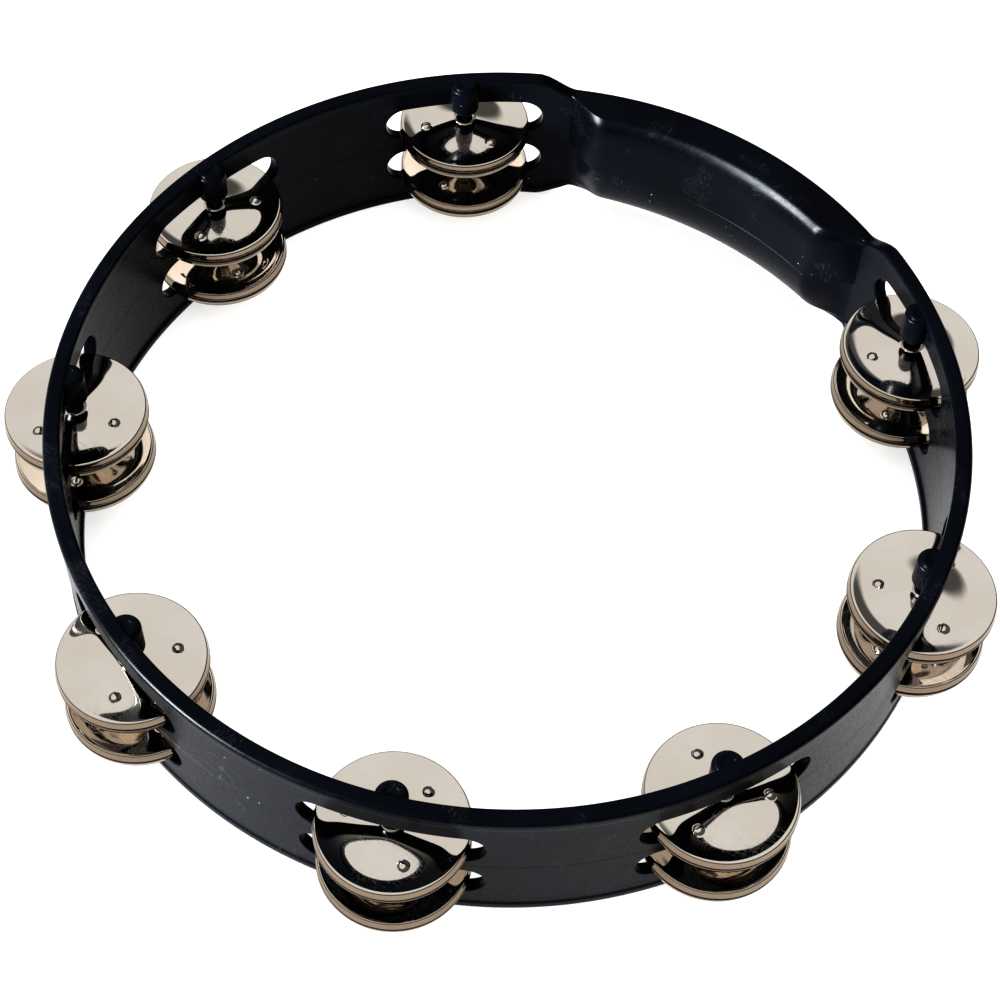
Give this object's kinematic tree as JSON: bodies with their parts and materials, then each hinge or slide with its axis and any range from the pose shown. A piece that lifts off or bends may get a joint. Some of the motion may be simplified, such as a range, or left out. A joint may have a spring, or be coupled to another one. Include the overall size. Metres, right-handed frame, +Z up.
{
  "type": "tambourine",
  "caption": "Headless ring tambourine: a two-piece moulded plastic hoop with a rounded hand grip, and pairs of dished metal jingles riding on steel pins in slots, one above the other.",
  "frame": {"origin": "on the surface the hoop lies on, under the middle of the whole object's bounding box, about 4 mm in front of the hoop's axis", "axes": "+Z up along the hoop's axis, +Y from the middle towards the hand grip, +X to the right with the grip at the back"},
  "size_m": [0.2808, 0.262, 0.05],
  "materials": {
    "hoop_plastic": "semi-gloss moulded black plastic",
    "jingle_nickel": "bright nickel plated steel",
    "pin_steel": "plain drawn steel"
  },
  "bodies": {
    "hoop": {"hoop_upper_half": "hoop_plastic", "hoop_lower_half": "hoop_plastic", "pin_1": "pin_steel", "pin_2": "pin_steel", "pin_3": "pin_steel", "pin_4": "pin_steel", "pin_5": "pin_steel", "pin_6": "pin_steel", "pin_7": "pin_steel", "pin_8": "pin_steel"},
    "jingle_1_upper_bottom": {"jingle_1_upper_bottom": "jingle_nickel"},
    "jingle_1_upper_top": {"jingle_1_upper_top": "jingle_nickel"},
    "jingle_1_lower_bottom": {"jingle_1_lower_bottom": "jingle_nickel"},
    "jingle_1_lower_top": {"jingle_1_lower_top": "jingle_nickel"},
    "jingle_2_upper_bottom": {"jingle_2_upper_bottom": "jingle_nickel"},
    "jingle_2_upper_top": {"jingle_2_upper_top": "jingle_nickel"},
    "jingle_2_lower_bottom": {"jingle_2_lower_bottom": "jingle_nickel"},
    "jingle_2_lower_top": {"jingle_2_lower_top": "jingle_nickel"},
    "jingle_3_upper_bottom": {"jingle_3_upper_bottom": "jingle_nickel"},
    "jingle_3_upper_top": {"jingle_3_upper_top": "jingle_nickel"},
    "jingle_3_lower_bottom": {"jingle_3_lower_bottom": "jingle_nickel"},
    "jingle_3_lower_top": {"jingle_3_lower_top": "jingle_nickel"},
    "jingle_4_upper_bottom": {"jingle_4_upper_bottom": "jingle_nickel"},
    "jingle_4_upper_top": {"jingle_4_upper_top": "jingle_nickel"},
    "jingle_4_lower_bottom": {"jingle_4_lower_bottom": "jingle_nickel"},
    "jingle_4_lower_top": {"jingle_4_lower_top": "jingle_nickel"},
    "jingle_5_upper_bottom": {"jingle_5_upper_bottom": "jingle_nickel"},
    "jingle_5_upper_top": {"jingle_5_upper_top": "jingle_nickel"},
    "jingle_5_lower_bottom": {"jingle_5_lower_bottom": "jingle_nickel"},
    "jingle_5_lower_top": {"jingle_5_lower_top": "jingle_nickel"},
    "jingle_6_upper_bottom": {"jingle_6_upper_bottom": "jingle_nickel"},
    "jingle_6_upper_top": {"jingle_6_upper_top": "jingle_nickel"},
    "jingle_6_lower_bottom": {"jingle_6_lower_bottom": "jingle_nickel"},
    "jingle_6_lower_top": {"jingle_6_lower_top": "jingle_nickel"},
    "jingle_7_upper_bottom": {"jingle_7_upper_bottom": "jingle_nickel"},
    "jingle_7_upper_top": {"jingle_7_upper_top": "jingle_nickel"},
    "jingle_7_lower_bottom": {"jingle_7_lower_bottom": "jingle_nickel"},
    "jingle_7_lower_top": {"jingle_7_lower_top": "jingle_nickel"},
    "jingle_8_upper_bottom": {"jingle_8_upper_bottom": "jingle_nickel"},
    "jingle_8_upper_top": {"jingle_8_upper_top": "jingle_nickel"},
    "jingle_8_lower_bottom": {"jingle_8_lower_bottom": "jingle_nickel"},
    "jingle_8_lower_top": {"jingle_8_lower_top": "jingle_nickel"}
  },
  "joints": [
    {"name": "spin_1_upper", "type": "hinge", "parent": "hoop", "child": "jingle_1_upper_bottom", "pos_m": [-0.07842, 0.09743, 0.03155], "axis": [0, 0, 1], "continuous": true},
    {"name": "lift_1_upper", "type": "slide", "parent": "jingle_1_upper_bottom", "child": "jingle_1_upper_top", "axis": [0, 0, 1], "range_m": [0, 0.0016]},
    {"name": "spin_1_lower", "type": "hinge", "parent": "hoop", "child": "jingle_1_lower_bottom", "pos_m": [-0.07842, 0.09743, 0.01335], "axis": [0, 0, 1], "continuous": true},
    {"name": "lift_1_lower", "type": "slide", "parent": "jingle_1_lower_bottom", "child": "jingle_1_lower_top", "axis": [0, 0, 1], "range_m": [0, 0.0016]},
    {"name": "spin_2_upper", "type": "hinge", "parent": "hoop", "child": "jingle_2_upper_bottom", "pos_m": [-0.12015, 0.02516, 0.03155], "axis": [0, 0, 1], "continuous": true},
    {"name": "lift_2_upper", "type": "slide", "parent": "jingle_2_upper_bottom", "child": "jingle_2_upper_top", "axis": [0, 0, 1], "range_m": [0, 0.0016]},
    {"name": "spin_2_lower", "type": "hinge", "parent": "hoop", "child": "jingle_2_lower_bottom", "pos_m": [-0.12015, 0.02516, 0.01335], "axis": [0, 0, 1], "continuous": true},
    {"name": "lift_2_lower", "type": "slide", "parent": "jingle_2_lower_bottom", "child": "jingle_2_lower_top", "axis": [0, 0, 1], "range_m": [0, 0.0016]},
    {"name": "spin_3_upper", "type": "hinge", "parent": "hoop", "child": "jingle_3_upper_bottom", "pos_m": [-0.10566, -0.05703, 0.03155], "axis": [0, 0, 1], "continuous": true},
    {"name": "lift_3_upper", "type": "slide", "parent": "jingle_3_upper_bottom", "child": "jingle_3_upper_top", "axis": [0, 0, 1], "range_m": [0, 0.0016]},
    {"name": "spin_3_lower", "type": "hinge", "parent": "hoop", "child": "jingle_3_lower_bottom", "pos_m": [-0.10566, -0.05703, 0.01335], "axis": [0, 0, 1], "continuous": true},
    {"name": "lift_3_lower", "type": "slide", "parent": "jingle_3_lower_bottom", "child": "jingle_3_lower_top", "axis": [0, 0, 1], "range_m": [0, 0.0016]},
    {"name": "spin_4_upper", "type": "hinge", "parent": "hoop", "child": "jingle_4_upper_bottom", "pos_m": [-0.04173, -0.11067, 0.03155], "axis": [0, 0, 1], "continuous": true},
    {"name": "lift_4_upper", "type": "slide", "parent": "jingle_4_upper_bottom", "child": "jingle_4_upper_top", "axis": [0, 0, 1], "range_m": [0, 0.0016]},
    {"name": "spin_4_lower", "type": "hinge", "parent": "hoop", "child": "jingle_4_lower_bottom", "pos_m": [-0.04173, -0.11067, 0.01335], "axis": [0, 0, 1], "continuous": true},
    {"name": "lift_4_lower", "type": "slide", "parent": "jingle_4_lower_bottom", "child": "jingle_4_lower_top", "axis": [0, 0, 1], "range_m": [0, 0.0016]},
    {"name": "spin_5_upper", "type": "hinge", "parent": "hoop", "child": "jingle_5_upper_bottom", "pos_m": [0.04173, -0.11067, 0.03155], "axis": [0, 0, 1], "continuous": true},
    {"name": "lift_5_upper", "type": "slide", "parent": "jingle_5_upper_bottom", "child": "jingle_5_upper_top", "axis": [0, 0, 1], "range_m": [0, 0.0016]},
    {"name": "spin_5_lower", "type": "hinge", "parent": "hoop", "child": "jingle_5_lower_bottom", "pos_m": [0.04173, -0.11067, 0.01335], "axis": [0, 0, 1], "continuous": true},
    {"name": "lift_5_lower", "type": "slide", "parent": "jingle_5_lower_bottom", "child": "jingle_5_lower_top", "axis": [0, 0, 1], "range_m": [0, 0.0016]},
    {"name": "spin_6_upper", "type": "hinge", "parent": "hoop", "child": "jingle_6_upper_bottom", "pos_m": [0.10566, -0.05703, 0.03155], "axis": [0, 0, 1], "continuous": true},
    {"name": "lift_6_upper", "type": "slide", "parent": "jingle_6_upper_bottom", "child": "jingle_6_upper_top", "axis": [0, 0, 1], "range_m": [0, 0.0016]},
    {"name": "spin_6_lower", "type": "hinge", "parent": "hoop", "child": "jingle_6_lower_bottom", "pos_m": [0.10566, -0.05703, 0.01335], "axis": [0, 0, 1], "continuous": true},
    {"name": "lift_6_lower", "type": "slide", "parent": "jingle_6_lower_bottom", "child": "jingle_6_lower_top", "axis": [0, 0, 1], "range_m": [0, 0.0016]},
    {"name": "spin_7_upper", "type": "hinge", "parent": "hoop", "child": "jingle_7_upper_bottom", "pos_m": [0.12015, 0.02516, 0.03155], "axis": [0, 0, 1], "continuous": true},
    {"name": "lift_7_upper", "type": "slide", "parent": "jingle_7_upper_bottom", "child": "jingle_7_upper_top", "axis": [0, 0, 1], "range_m": [0, 0.0016]},
    {"name": "spin_7_lower", "type": "hinge", "parent": "hoop", "child": "jingle_7_lower_bottom", "pos_m": [0.12015, 0.02516, 0.01335], "axis": [0, 0, 1], "continuous": true},
    {"name": "lift_7_lower", "type": "slide", "parent": "jingle_7_lower_bottom", "child": "jingle_7_lower_top", "axis": [0, 0, 1], "range_m": [0, 0.0016]},
    {"name": "spin_8_upper", "type": "hinge", "parent": "hoop", "child": "jingle_8_upper_bottom", "pos_m": [0.07842, 0.09743, 0.03155], "axis": [0, 0, 1], "continuous": true},
    {"name": "lift_8_upper", "type": "slide", "parent": "jingle_8_upper_bottom", "child": "jingle_8_upper_top", "axis": [0, 0, 1], "range_m": [0, 0.0016]},
    {"name": "spin_8_lower", "type": "hinge", "parent": "hoop", "child": "jingle_8_lower_bottom", "pos_m": [0.07842, 0.09743, 0.01335], "axis": [0, 0, 1], "continuous": true},
    {"name": "lift_8_lower", "type": "slide", "parent": "jingle_8_lower_bottom", "child": "jingle_8_lower_top", "axis": [0, 0, 1], "range_m": [0, 0.0016]}
  ]
}
